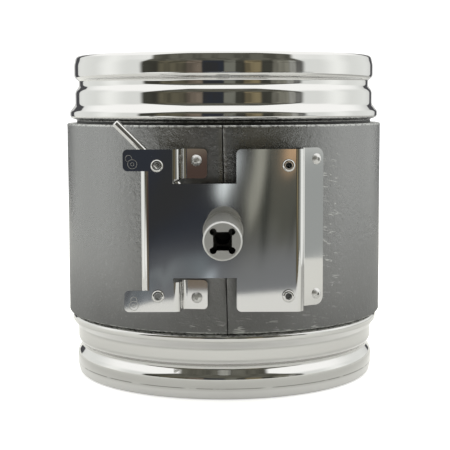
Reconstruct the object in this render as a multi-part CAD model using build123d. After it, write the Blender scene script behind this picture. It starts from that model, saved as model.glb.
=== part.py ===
from build123d import *
import os
from math import asin, cos, degrees, radians, sin, tan

# Butterfly damper for round duct, in millimetres. The duct stands on its lower rim, with its axis on Z
# and the actuator side facing -Y. The vane is shown open.

# Largest share of a straight run that its bends may take up
bend_share = 0.96

# Height of a rivet head at a given share of its radius
dome_radius_share = 0.72
dome_height_share = 0.58

# Duct, one rolled tube: heights run from each rim towards the middle
duct_height = 164.7
duct_wall = 0.8
body_radius = 76.8
lip_reach = 4.0
edge_roll = 1.2
rim_lean = 1.1
rim_height = 4.5
rim_bend = 8.0
collar_rise = 1.2
collar_length = 11.0
groove_depth = 1.2
groove_slope = 1.8
groove_length = 2.6
groove_bend = 2.0
band_rise = 0.8
band_slope = 2.8
band_length = 6.6
band_bend = 3.0
bead_rise = 3.6
bead_slope = 3.6
bead_length = 3.2
bead_drop = 0.9
bead_bend = 1.3

# Insulation sleeve, wrapped round the duct and butted at the front
glue_film = 0.15
sleeve_thickness = 5.05
sleeve_bottom_gap = 0.4
sleeve_top_gap = 1.8
sleeve_edge = 0.8
seam_width = 0.7
seam_middle = 0.85
seam_lean = -1.3
bearing_cutout = 14.0

# Actuator bracket, one folded sheet: widths from the shaft axis
sheet = 1.5
bend_radius = 2.3
bracket_half_height = 37.4
relief_radius = 1.0
lip_x = -37.7
lip_edge = 0.2
lip_half_height = 27.5
ear_x = -45.6
ear_corner = 2.2
left_leg_x = -19.2
right_leg_x = 37.2
wing_x = 6.2
wing_corner = 2.3
foot_length = 12.0
foot_rivet_offset = 6.9
foot_gap = 0.1
left_foot_corner = 2.0
right_foot_corner = 4.0
foot_rivet_height = 32.0
tapped_spacing = 60.0
tapped_hole_radius = 1.65
tapped_neck_radius = 2.9
tapped_neck_height = 1.8
tapped_neck_round = 1.0

# Blind rivets and what is left of their mandrels
rivet_head_radius = 2.6
rivet_head_height = 1.3
rivet_shank_radius = 1.5
rivet_bulb_radius = 2.2
rivet_bulb_length = 3.0
mandrel_radius = 0.8
mandrel_sink = 0.5
mandrel_head_radius = 1.3
mandrel_head_length = 1.0

# Shaft, coupling head and indicator rod
shaft_radius = 6.0
shaft_seat_depth = 16.0
shaft_chamfer = 0.8
head_radius = 8.5
head_reach = 40.0
head_chamfer = 0.7
socket_width = 8.0
socket_depth = 16.0
socket_relief_radius = 1.5
pilot_radius = 3.4
rod_radius = 1.8
rod_angle = 45.0
rod_tip = 70.0
rod_root = 1.0
rod_chamfer = 0.6
rod_gap = 0.3
rod_to_lip = 0.7
stop_gap = 0.33
washer_thickness = 1.0
washer_radius = 8.4
ring_thickness = 1.0
ring_radius = 7.9
ring_groove = 0.7
ring_mouth = 4.0

# Bearings through the duct wall, and the bush in the bracket
running_clearance = 0.05
seat_clearance = 0.03
side_clearance = 0.1
bearing_sleeve_radius = 8.0
bearing_snap = 0.5
bearing_snap_length = 1.1
bearing_inset = 1.8
saddle_radius = 12.5
saddle_thickness = 1.6
boss_radius = 9.5
front_boss_height = 3.0
rear_boss_height = 4.1
rear_cap = 1.5
shaft_end_gap = 0.3
seal_section = 0.8
seal_setback = 1.3
bush_wall = 0.75
bush_proud = 0.6
bush_flange_radius = 10.5
bush_flange = 1.0

# Vane: two pressed discs on a gasket, riveted round the rim and pinned to the shaft
vane_sheet = 0.8
gasket_thickness = 1.6
gasket_lip = 1.1
gasket_width = 17.0
gasket_shaft_gap = 1.2
rim_clearance = 0.45
vane_notch = 1.0
vane_rivet_count = 8
vane_rivet_inset = 9.0
vane_rivet_radius = 2.0
vane_rivet_head = 3.6
vane_rivet_height = 1.3
cross_pin_radius = 2.0
cross_pin_spacing = 70.0
cross_pin_proud = 0.5
cross_pin_chamfer = 0.4

# Places that follow from the sizes above
shaft_height = duct_height / 2
inner_radius = body_radius - duct_wall
sleeve_inner = body_radius + glue_film
sleeve_radius = sleeve_inner + sleeve_thickness
bend_outside = bend_radius + sheet
bush_radius = head_radius + running_clearance + bush_wall
rod_y = -(sleeve_radius + rod_gap + rod_radius)
plate_back = rod_y - rod_radius - rod_to_lip - bend_radius - lip_edge
plate_front = plate_back - sheet
foot_radius = sleeve_radius + foot_gap + sheet
stop_reach = (rod_radius + stop_gap) / cos(radians(rod_angle))
stop_height = (sheet - left_leg_x) * tan(radians(rod_angle)) + stop_reach
web_half_height = stop_height - 2 * relief_radius
bearing_face = -(body_radius + front_boss_height)
bearing_end = -(inner_radius - bearing_inset)
head_back = bearing_face - side_clearance - washer_thickness
head_front = plate_front - head_reach
shaft_front = head_back - shaft_seat_depth
shaft_rear = body_radius + rear_boss_height - rear_cap - shaft_end_gap
ring_front = bearing_end + side_clearance
vane_end = inner_radius - bearing_inset - side_clearance - ring_thickness - vane_notch
gasket_radius = inner_radius - rim_clearance
disc_radius = gasket_radius - gasket_lip
channel_radius = shaft_radius + seat_clearance
channel_outside = channel_radius + vane_sheet
rivet_circle = disc_radius - vane_rivet_inset
rivet_grip = foot_radius - inner_radius + side_clearance
beyond = 2 * (duct_height + body_radius)


def sheet_section(points, thickness, inside_radii):
    """Section of a bent sheet: one face follows the points, the other lies to the left of them."""
    near = [Vector(*point) for point in points]
    steps = [end - start for start, end in zip(near, near[1:])]
    sides = [step.normalized().rotate(Axis.Z, 90) for step in steps]
    reach = [step.length * bend_share / 2 for step in steps]
    reach[0] = steps[0].length * bend_share
    reach[-1] = steps[-1].length * bend_share
    far = [near[0] + sides[0] * thickness]
    near_radii = []
    far_radii = []
    for corner, inside_radius in enumerate(inside_radii, start=1):
        before = steps[corner - 1]
        after = steps[corner]
        mitre = (sides[corner - 1] + sides[corner]).normalized()
        far.append(near[corner] + mitre * (thickness / mitre.dot(sides[corner])))
        half_turn = radians(before.get_angle(after) / 2)
        room = min(reach[corner - 1], reach[corner]) / tan(half_turn) - thickness
        radius = min(inside_radius, room)
        bends_left = before.cross(after).Z > 0
        near_radii.append(radius + thickness if bends_left else radius)
        far_radii.append(radius if bends_left else radius + thickness)
    far.append(near[-1] + sides[-1] * thickness)
    near_face = FilletPolyline(*near, radius=near_radii)
    far_face = FilletPolyline(*far, radius=far_radii)
    cut_ends = [Line(near_face @ 0, far_face @ 0), Line(near_face @ 1, far_face @ 1)]
    return make_face([near_face, far_face, *cut_ends])


def turned(radius, front, back):
    """Round bar on the shaft axis between two places on Y."""
    return Pos(0, (front + back) / 2, shaft_height) * Rot(90, 0, 0) * Cylinder(radius, back - front)


def upright(radius, low, high):
    """Round bar on the duct axis between two heights."""
    return Pos(0, 0, (low + high) / 2) * Cylinder(radius, high - low)


def across(radius, y, height, length):
    """Round bar along X, centred on the vane."""
    return Pos(0, y, height) * Rot(0, 90, 0) * Cylinder(radius, length)


def turned_profile(*points):
    """Solid turned round the local Z axis from a closed outline of radius and height."""
    return revolve(Plane.XZ * make_face(Polyline(*points, close=True)), Axis.Z)


# Duct

def duct_end():
    """Outer face of one rolled end: radius, distance from the rim and inside radius at each bend."""
    height = collar_length
    corners = [
        (body_radius + collar_rise - rim_lean, 0.0, edge_roll),
        (body_radius + collar_rise, rim_height, rim_bend),
        (body_radius + collar_rise, height, groove_bend),
    ]
    height += groove_slope
    corners.append((body_radius - groove_depth, height, groove_bend))
    height += groove_length
    corners.append((body_radius - groove_depth, height, groove_bend))
    height += band_slope
    corners.append((body_radius + band_rise, height, band_bend))
    height += band_length
    corners.append((body_radius + band_rise, height, band_bend))
    height += bead_slope
    corners.append((body_radius + bead_rise, height, bead_bend))
    height += bead_length
    corners.append((body_radius + bead_rise, height, bead_bend))
    height += bead_drop
    corners.append((body_radius, height, bead_bend))
    return corners


def bead_foot():
    """Height above the rim at which the last bead comes back to the plain body."""
    return duct_end()[-1][1]


def make_duct_body():
    """Rolled tube with both ends alike, pierced for the bearings and the rivets."""
    lower = duct_end()
    upper = [(radius, duct_height - height, bend) for radius, height, bend in reversed(lower)]
    corners = lower + upper
    lip = body_radius - lip_reach
    points = [(lip, 0.0), *[(radius, height) for radius, height, bend in corners], (lip, duct_height)]
    section = sheet_section(points, duct_wall, [bend for radius, height, bend in corners])
    tube = revolve(Plane.XZ * section, Axis.Z)
    tube -= turned(bearing_sleeve_radius + seat_clearance, -beyond, beyond)
    return tube - rivet_holes()


def make_insulation_sleeve():
    """Foam wrapped round the duct between the beads, with its butt seam at the front."""
    low = bead_foot() + sleeve_bottom_gap
    high = duct_height - bead_foot() - sleeve_top_gap
    sleeve = upright(sleeve_radius, low, high)
    sleeve = fillet(sleeve.edges().filter_by(GeomType.CIRCLE), sleeve_edge)
    sleeve -= upright(sleeve_inner, low, high)
    seam = Rot(0, seam_lean, 0) * Box(seam_width, sleeve_radius, duct_height)
    sleeve -= Pos(seam_middle, -sleeve_radius, shaft_height) * seam
    sleeve -= turned(bearing_cutout, -beyond, beyond)
    return sleeve - rivet_holes()


# Bracket and its rivets

def foot_angle(leg_x):
    """Angle round the duct, from the front, at which a foot lies flat on the sleeve."""
    return degrees(asin((leg_x + foot_rivet_offset) / foot_radius))


def rivet_places():
    """Planes on the outside of the feet, each with its normal along a rivet."""
    places = []
    for leg_x in (left_leg_x, right_leg_x):
        turn = radians(foot_angle(leg_x))
        outward = Vector(sin(turn), -cos(turn), 0)
        for side in (1, -1):
            origin = outward * foot_radius + Vector(0, 0, shaft_height + side * foot_rivet_height)
            places.append(Plane(origin, x_dir=(0, 0, 1), z_dir=outward))
    return places


def rivet_holes():
    """Round cutters for the rivet shanks."""
    radius = rivet_shank_radius + seat_clearance
    return [place * Cylinder(radius, 4 * rivet_grip) for place in rivet_places()]


def leg_and_foot(start_x, leg_x, low, high, corner):
    """Strip that leaves the plate, folds back along the leg and lies on the sleeve as a foot."""
    turn = radians(foot_angle(leg_x))
    outward = Vector(sin(turn), -cos(turn))
    along = Vector(cos(turn), sin(turn))
    seat = outward * foot_radius
    knee = seat + along * ((leg_x - seat.X) / along.X)
    toe = knee + along * foot_length
    path = [(start_x, plate_front), (leg_x, plate_front), (knee.X, knee.Y), (toe.X, toe.Y)]
    section = sheet_section(path, sheet, [bend_radius, bend_radius])
    strip = Pos(0, 0, shaft_height + low) * extrude(section, high - low)
    across_sheet = strip.edges().filter_by(lambda edge: abs(edge.length - sheet) < 0.01 * sheet)
    return fillet(across_sheet.sort_by_distance((toe.X, toe.Y, shaft_height + (low + high) / 2))[:2], corner)


def panel(low_x, high_x, low, high, corner):
    """Flat outline with its two left corners rounded."""
    outline = Pos((low_x + high_x) / 2, (low + high) / 2) * Rectangle(high_x - low_x, high - low)
    return fillet(outline.vertices().group_by(Axis.X)[0], corner)


def make_actuator_bracket():
    """Folded plate with a wing, a web, two ears, a stiffening lip, and three feet on the sleeve."""
    tab_x = left_leg_x - bend_outside
    fold_x = right_leg_x - bend_outside
    edge_x = lip_x + bend_outside
    outline = panel(wing_x, fold_x, -bracket_half_height, bracket_half_height, wing_corner)
    outline += Pos((tab_x + fold_x) / 2, 0) * Rectangle(fold_x - tab_x, 2 * web_half_height)
    outline += Pos((edge_x + tab_x) / 2, 0) * Rectangle(tab_x - edge_x, 2 * bracket_half_height)
    for side in (1, -1):
        low, high = sorted((side * lip_half_height, side * bracket_half_height))
        outline += panel(ear_x, tab_x, low, high, ear_corner)
        outline -= Pos(tab_x, side * (web_half_height + relief_radius)) * Circle(relief_radius)
    plate_plane = Plane((0, plate_back, shaft_height), x_dir=(1, 0, 0), z_dir=(0, -1, 0))
    bracket = extrude(plate_plane * outline, sheet)

    lip_path = [(lip_x, plate_front + bend_outside + lip_edge), (lip_x, plate_front), (tab_x, plate_front)]
    lip = extrude(sheet_section(lip_path, sheet, [bend_radius]), 2 * lip_half_height)
    bracket += Pos(0, 0, shaft_height - lip_half_height) * lip
    wing_start = wing_x + wing_corner
    wing_span = (-bracket_half_height, bracket_half_height)
    bracket += leg_and_foot(wing_start, right_leg_x, *wing_span, right_foot_corner)
    for side in (1, -1):
        low, high = sorted((side * stop_height, side * bracket_half_height))
        bracket += leg_and_foot(edge_x, left_leg_x, low, high, left_foot_corner)

    neck_length = sheet + tapped_neck_height
    neck = Pos(0, 0, neck_length / 2) * Cylinder(tapped_neck_radius, neck_length)
    neck = fillet(neck.edges().group_by(Axis.Z)[-1], tapped_neck_round)
    bush_hole = bush_radius + seat_clearance
    holes = [turned(bush_hole, plate_front - sheet, plate_back + sheet)]
    for place in GridLocations(tapped_spacing, tapped_spacing, 2, 2):
        middle = plate_plane * place
        bracket += middle * neck
        holes.append(middle * Cylinder(tapped_hole_radius, 4 * neck_length))
    return bracket - holes - rivet_holes()


def make_bracket_rivets():
    """Domed blind rivets, hollow, with the bulb that the mandrel formed inside the duct."""
    bore = mandrel_radius + seat_clearance
    tail = rivet_grip + rivet_bulb_length
    dome = ThreePointArc(
        (bore, rivet_head_height),
        (rivet_head_radius * dome_radius_share, rivet_head_height * dome_height_share),
        (rivet_head_radius, 0),
    )
    rest = Polyline(
        (rivet_head_radius, 0),
        (rivet_shank_radius, 0),
        (rivet_shank_radius, -rivet_grip),
        (rivet_bulb_radius, -rivet_grip),
        (rivet_shank_radius, -tail),
        (bore, -tail),
        (bore, rivet_head_height),
    )
    rivet = revolve(Plane.XZ * make_face([dome, *rest.edges()]), Axis.Z)
    return [place * rivet for place in rivet_places()]


def make_rivet_mandrels():
    """Broken mandrels that fill the rivets to just below their heads."""
    tail = rivet_grip + rivet_bulb_length
    mandrel = turned_profile(
        (0, rivet_head_height - mandrel_sink),
        (mandrel_radius, rivet_head_height - mandrel_sink),
        (mandrel_radius, -tail),
        (mandrel_head_radius, -tail),
        (mandrel_head_radius, -tail - mandrel_head_length),
        (0, -tail - mandrel_head_length),
    )
    return [place * mandrel for place in rivet_places()]


# Bearings and seals

def wall_bearing(boss_height):
    """Saddle-shaped bearing that snaps into the front of the duct wall, still without its bore."""
    face = -(body_radius + boss_height)
    saddle = upright(body_radius + saddle_thickness, 0, duct_height) & turned(saddle_radius, -beyond, 0)
    boss = turned(boss_radius, face, -inner_radius)
    shell = (saddle + boss) - upright(body_radius + seat_clearance, 0, duct_height)
    neck = turned(bearing_sleeve_radius, face, bearing_end)
    snap = turned(bearing_sleeve_radius + bearing_snap, bearing_end - bearing_snap_length, bearing_end)
    snap = chamfer(snap.edges().sort_by(Axis.Y)[-1], bearing_snap)
    return shell + neck + snap


def seal_place():
    """Distance from the duct axis to the middle of each shaft seal."""
    return body_radius + front_boss_height - seal_setback - seal_section


def seal_groove():
    """Cutter for the groove that holds a shaft seal at the front."""
    outside = shaft_radius + running_clearance + 2 * seal_section + seat_clearance
    half_width = seal_section + seat_clearance
    return turned(outside, -seal_place() - half_width, -seal_place() + half_width)


def make_front_bearing():
    """Bearing behind the bracket, open right through."""
    bore = turned(shaft_radius + running_clearance, -beyond, 0)
    return wall_bearing(front_boss_height) - bore - seal_groove()


def make_rear_bearing():
    """Bearing at the back, closed by a cap."""
    bore_end = -(body_radius + rear_boss_height - rear_cap)
    bore = turned(shaft_radius + running_clearance, bore_end, 0)
    return Rot(0, 0, 180) * (wall_bearing(rear_boss_height) - bore - seal_groove())


def shaft_seal(y):
    """Round-section rubber ring on the shaft."""
    ring_middle = shaft_radius + running_clearance + seal_section
    return Pos(0, y, shaft_height) * Rot(90, 0, 0) * Torus(ring_middle, seal_section)


def make_bracket_bush():
    """Thin flanged bush that guides the coupling head through the plate."""
    bush = turned(bush_radius, plate_front - bush_proud, plate_back + bush_flange)
    bush += turned(bush_flange_radius, plate_back, plate_back + bush_flange)
    return bush - turned(head_radius + running_clearance, -beyond, 0)


# Shaft group

def rod_cutter(radius, start, end):
    """Round bar along the indicator rod between two distances from the shaft axis."""
    bar = Pos(0, 0, (start + end) / 2) * Cylinder(radius, end - start)
    return Pos(0, rod_y, shaft_height) * Rot(0, rod_angle - 90, 0) * bar


def make_drive_shaft():
    """Round shaft across the duct, drilled for the cross pins and the indicator rod."""
    shaft = turned(shaft_radius, shaft_front, shaft_rear)
    shaft = chamfer(shaft.edges().filter_by(GeomType.CIRCLE), shaft_chamfer)
    groove = turned(shaft_radius * 2, ring_front, ring_front + ring_thickness)
    shaft -= groove - turned(shaft_radius - ring_groove, -beyond, beyond)
    for y in (-cross_pin_spacing / 2, cross_pin_spacing / 2):
        shaft -= across(cross_pin_radius + seat_clearance, y, shaft_height, 4 * shaft_radius)
    return shaft - rod_cutter(rod_radius + seat_clearance, rod_root, rod_tip)


def make_coupling_head():
    """Turned head with a square socket, relieved at its corners, seated on the end of the shaft."""
    head = turned(head_radius, head_front, head_back)
    head = chamfer(head.edges().filter_by(GeomType.CIRCLE), head_chamfer)
    head -= turned(pilot_radius, head_front, head_back)
    head -= turned(shaft_radius + seat_clearance, shaft_front, head_back)
    middle = Pos(0, head_front + socket_depth / 2, shaft_height)
    head -= middle * Box(socket_width, socket_depth, socket_width)
    relief = Rot(90, 0, 0) * Cylinder(socket_relief_radius, socket_depth)
    for corner_x in (-socket_width / 2, socket_width / 2):
        for corner_z in (-socket_width / 2, socket_width / 2):
            head -= middle * Pos(corner_x, 0, corner_z) * relief
    return head - rod_cutter(rod_radius + seat_clearance, rod_root, rod_tip)


def make_indicator_rod():
    """Round pointer that pins the head to the shaft and swings between the two stop tabs."""
    rod = rod_cutter(rod_radius, rod_root + seat_clearance, rod_tip)
    return chamfer(rod.edges().filter_by(GeomType.CIRCLE), rod_chamfer)


def make_thrust_washer():
    """Flat washer between the coupling head and the front bearing."""
    washer = turned(washer_radius, head_back, head_back + washer_thickness)
    return washer - turned(shaft_radius + seat_clearance, -beyond, beyond)


def make_retaining_ring():
    """Open spring ring in the shaft's groove, inside the front bearing."""
    ring = turned(ring_radius, ring_front, ring_front + ring_thickness)
    ring -= turned(shaft_radius - ring_groove + seat_clearance, -beyond, beyond)
    mouth = Box(2 * ring_radius, 4 * ring_thickness, ring_mouth)
    return ring - Pos(ring_radius, ring_front, shaft_height) * mouth


# Vane

def vane_rivet_places():
    """Places of the rim rivets as Y and height, with none on the shaft."""
    step = 360 / vane_rivet_count
    turns = [radians(step * (index + 0.5)) for index in range(vane_rivet_count)]
    return [(rivet_circle * cos(turn), shaft_height + rivet_circle * sin(turn)) for turn in turns]


def end_notches():
    """Cutters that keep the vane clear of the bearings and the retaining ring."""
    radius = bearing_sleeve_radius + bearing_snap + vane_notch
    return [turned(radius, vane_end, beyond), turned(radius, -beyond, -vane_end)]


def make_vane_disc(side):
    """Pressed disc with a half-round channel over the shaft, on one side of the gasket."""
    face = gasket_thickness / 2
    disc = across(disc_radius, 0, shaft_height, vane_sheet)
    disc = Pos(face + vane_sheet / 2, 0, 0) * disc
    channel = turned(channel_outside, -disc_radius, disc_radius)
    channel &= across(disc_radius, 0, shaft_height, 4 * channel_outside)
    channel &= Pos(face + channel_outside, 0, shaft_height) * Box(2 * channel_outside, beyond, beyond)
    disc = (disc + channel) - turned(channel_radius, -beyond, beyond)
    disc -= [across(vane_rivet_radius + seat_clearance, y, z, 8 * face) for y, z in vane_rivet_places()]
    for y in (-cross_pin_spacing / 2, cross_pin_spacing / 2):
        disc -= across(cross_pin_radius + seat_clearance, y, shaft_height, 4 * channel_outside)
    disc -= end_notches()
    return disc if side > 0 else Rot(0, 0, 180) * disc


def make_vane_gasket(side):
    """Half ring of rubber held between the discs, with its lip just clear of the duct wall."""
    ring = across(gasket_radius, 0, shaft_height, gasket_thickness)
    ring -= across(gasket_radius - gasket_width, 0, shaft_height, 2 * gasket_thickness)
    low = shaft_height + channel_outside + gasket_shaft_gap
    ring &= Pos(0, 0, low + beyond / 2) * Box(beyond, beyond, beyond)
    hole_radius = vane_rivet_radius + seat_clearance
    ring -= [across(hole_radius, y, z, 2 * gasket_thickness) for y, z in vane_rivet_places()]
    ring -= end_notches()
    return ring if side > 0 else Pos(0, 0, duct_height) * Rot(180, 0, 0) * ring


def make_vane_rivets():
    """Solid rivets with a domed head on each disc."""
    half_grip = gasket_thickness / 2 + vane_sheet
    top = half_grip + vane_rivet_height
    flank = Polyline(
        (vane_rivet_head, half_grip),
        (vane_rivet_radius, half_grip),
        (vane_rivet_radius, 0),
        (0, 0),
        (0, top),
    )
    dome = ThreePointArc(
        (0, top),
        (vane_rivet_head * dome_radius_share, half_grip + vane_rivet_height * dome_height_share),
        (vane_rivet_head, half_grip),
    )
    half = revolve(Plane.XZ * make_face([dome, *flank.edges()]), Axis.Z)
    rivet = half + Rot(180, 0, 0) * half
    return [Pos(0, y, z) * Rot(0, 90, 0) * rivet for y, z in vane_rivet_places()]


def make_cross_pins():
    """Pins through both channels and the shaft."""
    length = 2 * (channel_outside + cross_pin_proud)
    pins = []
    for y in (-cross_pin_spacing / 2, cross_pin_spacing / 2):
        pin = across(cross_pin_radius, y, shaft_height, length)
        pins.append(chamfer(pin.edges().filter_by(GeomType.CIRCLE), cross_pin_chamfer))
    return pins


pieces = {
    "duct_body": make_duct_body(),
    "insulation_sleeve": make_insulation_sleeve(),
    "actuator_bracket": make_actuator_bracket(),
    "bracket_rivets": make_bracket_rivets(),
    "rivet_mandrels": make_rivet_mandrels(),
    "bracket_bush": make_bracket_bush(),
    "front_bearing": make_front_bearing(),
    "rear_bearing": make_rear_bearing(),
    "front_shaft_seal": shaft_seal(-seal_place()),
    "rear_shaft_seal": shaft_seal(seal_place()),
    "drive_shaft": make_drive_shaft(),
    "coupling_head": make_coupling_head(),
    "thrust_washer": make_thrust_washer(),
    "retaining_ring": make_retaining_ring(),
    "indicator_rod": make_indicator_rod(),
    "vane_disc_right": make_vane_disc(1),
    "vane_disc_left": make_vane_disc(-1),
    "vane_gasket_upper": make_vane_gasket(1),
    "vane_gasket_lower": make_vane_gasket(-1),
    "vane_rivets": make_vane_rivets(),
    "vane_cross_pins": make_cross_pins(),
}

os.makedirs("parts", exist_ok=True)
for name, piece in pieces.items():
    solids = piece if isinstance(piece, list) else [piece]
    export_step(Compound([solid for shape in solids for solid in shape.solids()]), f"parts/{name}.step")
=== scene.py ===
import logging
import math
from dataclasses import dataclass, field
from enum import Enum

import bpy
from mathutils import Matrix, Vector, noise


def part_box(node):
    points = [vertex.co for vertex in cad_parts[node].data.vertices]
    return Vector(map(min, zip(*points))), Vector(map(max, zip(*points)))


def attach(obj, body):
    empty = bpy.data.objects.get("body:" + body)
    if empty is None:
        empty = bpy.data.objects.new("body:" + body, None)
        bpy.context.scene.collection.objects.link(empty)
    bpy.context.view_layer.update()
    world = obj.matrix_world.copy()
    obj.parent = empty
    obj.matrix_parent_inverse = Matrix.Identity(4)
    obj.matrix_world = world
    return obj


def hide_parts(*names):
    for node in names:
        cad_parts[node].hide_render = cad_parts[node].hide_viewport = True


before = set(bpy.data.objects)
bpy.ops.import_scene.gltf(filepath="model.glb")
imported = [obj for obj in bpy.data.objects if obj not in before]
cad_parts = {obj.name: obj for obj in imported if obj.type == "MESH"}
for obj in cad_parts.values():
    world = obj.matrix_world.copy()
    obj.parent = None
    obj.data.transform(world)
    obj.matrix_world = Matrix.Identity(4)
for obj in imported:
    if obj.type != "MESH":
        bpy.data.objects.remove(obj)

LOG = logging.getLogger("damper")
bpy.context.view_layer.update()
SHAFT_HEIGHT = sum(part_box("drive_shaft"), Vector()).z / 2
SLEEVE_LOW, SLEEVE_HIGH = (corner.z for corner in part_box("insulation_sleeve"))
SLEEVE_RADIUS = 0.0820
# Where the sleeve's butt seam crosses its lower and its upper edge, along x
SEAM_LOW = 0.00197
SEAM_HIGH = -0.00027
BORE_SIDES = 96
BORE_LENGTH = 0.3
SHARP_ANGLE = math.radians(40)
DEGREES = 180 / math.pi
ALONG_SHAFT = (math.pi / 2, 0, 0)
# The Mix node's sockets for colours have the same names as its others, so they go by number
MIX_FIRST = 6
MIX_SECOND = 7
MIX_RESULT = 2
Colour = tuple[float, float, float]
Place = tuple[float, float, float]
Span = tuple[float, float]
Bends = tuple[tuple[float, float, float], ...]


class Body(str, Enum):
    """The two bodies that the hinge joins."""

    DUCT = "duct"
    VANE = "vane"


class Look(Enum):
    """The finishes that the pieces can have."""

    ROLLED = "rolled"
    SHEET = "sheet"
    PLAIN = "plain"
    RIVET = "rivet"
    TURNED = "turned"
    FOAM = "foam"
    PLASTIC = "plastic"
    RUBBER = "rubber"


class Value:
    """A socket in a node tree with arithmetic that adds Math nodes."""

    def __init__(self, graph: "Graph", socket: bpy.types.NodeSocket) -> None:
        """Keeps the tree and the socket."""
        self.graph = graph
        self.socket = socket

    def maths(self, operation: str, *others: object) -> "Value":
        """Adds one Math node on this value and others, as numbers or Values."""
        return self.graph.maths(operation, self, *others)

    def __add__(self, other: object) -> "Value":
        """The sum."""
        return self.maths("ADD", other)

    def __sub__(self, other: object) -> "Value":
        """The difference."""
        return self.maths("SUBTRACT", other)

    def __mul__(self, other: object) -> "Value":
        """The product."""
        return self.maths("MULTIPLY", other)

    def __truediv__(self, other: object) -> "Value":
        """The quotient."""
        return self.maths("DIVIDE", other)

    def __radd__(self, other: object) -> "Value":
        """The sum, with this value second."""
        return self.graph.maths("ADD", other, self)

    def __rsub__(self, other: object) -> "Value":
        """The difference, with this value second."""
        return self.graph.maths("SUBTRACT", other, self)

    def __rmul__(self, other: object) -> "Value":
        """The product, with this value second."""
        return self.graph.maths("MULTIPLY", other, self)

    def __rtruediv__(self, other: object) -> "Value":
        """The quotient, with this value second."""
        return self.graph.maths("DIVIDE", other, self)

    def __neg__(self) -> "Value":
        """The value with its sign changed."""
        return self.maths("MULTIPLY", -1.0)

    def __abs__(self) -> "Value":
        """The value without its sign."""
        return self.maths("ABSOLUTE")

    def most(self, other: object) -> "Value":
        """The larger of two values."""
        return self.maths("MAXIMUM", other)

    def length(self, other: "Value") -> "Value":
        """Length of a line with this value and another as its two parts."""
        return (self * self + other * other).maths("SQRT")

    def rise(self, low: float, high: float) -> "Value":
        """Smooth step from 0 at low to 1 at high."""
        inputs = {"Value": self, "From Min": low, "From Max": high}
        return self.graph.value("ShaderNodeMapRange", {"interpolation_type": "SMOOTHSTEP"}, inputs, "Result")

    def within(self, low: float, high: float, soft: float) -> "Value":
        """1 between low and high and 0 outside, with soft ends."""
        return self.rise(low - soft, low + soft) * (1.0 - self.rise(high - soft, high + soft))


class Graph:
    """A node tree under construction."""

    def __init__(self, tree: bpy.types.NodeTree) -> None:
        """Keeps the tree and empties it."""
        self.tree = tree
        tree.nodes.clear()

    def node(self, kind: str, settings: dict | None = None, inputs: dict | None = None) -> bpy.types.Node:
        """Adds a node, its settings first and its sockets after.

        Args:
            kind: The node's type.
            settings: Properties by name.
            inputs: Values, sockets or constants by socket name or number.

        Returns:
            The new node.
        """
        made = self.tree.nodes.new(kind)
        for name, setting in (settings or {}).items():
            setattr(made, name, setting)
        for name, value in (inputs or {}).items():
            self.feed(made.inputs[name], value)
        return made

    def feed(self, socket: bpy.types.NodeSocket, value: object) -> None:
        """Links a Value or socket, or sets a constant.

        Args:
            socket: The input to feed.
            value: What goes into it.
        """
        source = value.socket if isinstance(value, Value) else value
        if isinstance(source, bpy.types.NodeSocket):
            self.tree.links.new(source, socket)
        else:
            socket.default_value = source

    def value(self, kind: str, settings: dict | None, inputs: dict | None, output: str | int = 0) -> Value:
        """Adds a node and wraps one of its outputs."""
        return Value(self, self.node(kind, settings, inputs).outputs[output])

    def maths(self, operation: str, *values: object) -> Value:
        """Adds a Math node on numbers or Values."""
        return self.value("ShaderNodeMath", {"operation": operation}, dict(enumerate(values)))

    def mix(self, share: object, first: object, second: object) -> Value:
        """Mixes two colours.

        Args:
            share: How much of the second one there is.
            first: A colour or the Value of one.
            second: A colour or the Value of one.

        Returns:
            The mixed colour.
        """
        paints = [(*c, 1.0) if isinstance(c, tuple) else c for c in (first, second)]
        inputs = {"Factor": share, MIX_FIRST: paints[0], MIX_SECOND: paints[1]}
        return self.value("ShaderNodeMix", {"data_type": "RGBA"}, inputs, MIX_RESULT)

    def place(self) -> bpy.types.NodeSocket:
        """Object coordinates, which here are the row frame in metres."""
        return self.node("ShaderNodeTexCoord").outputs["Object"]

    def axes(self, vector: bpy.types.NodeSocket) -> tuple[Value, Value, Value]:
        """The three parts of a vector."""
        parts = self.node("ShaderNodeSeparateXYZ", None, {0: vector}).outputs
        return Value(self, parts[0]), Value(self, parts[1]), Value(self, parts[2])

    def vector(self, x: object, y: object, z: object) -> Value:
        """A vector from three parts."""
        return self.value("ShaderNodeCombineXYZ", None, {0: x, 1: y, 2: z})

    def noise(self, vector: object, scale: float, detail: float = 2.0) -> Value:
        """Fractal noise between 0 and 1."""
        return self.value("ShaderNodeTexNoise", None, {"Vector": vector, "Scale": scale, "Detail": detail})

    def bump(self, height: Value, distance: float, strength: float = 1.0) -> Value:
        """A normal from a height."""
        inputs = {"Height": height, "Distance": distance, "Strength": strength}
        return self.value("ShaderNodeBump", None, inputs)


@dataclass(frozen=True)
class Spots:
    """Irregular spots, cut out of noise between two of its levels."""

    scale: float
    low: float
    high: float
    strength: float = 1.0
    detail: float = 2.0

    def mask(self, graph: Graph, place: object) -> Value:
        """The strength on the spots and 0 between them."""
        return graph.noise(place, self.scale, self.detail).rise(self.low, self.high) * self.strength


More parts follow.
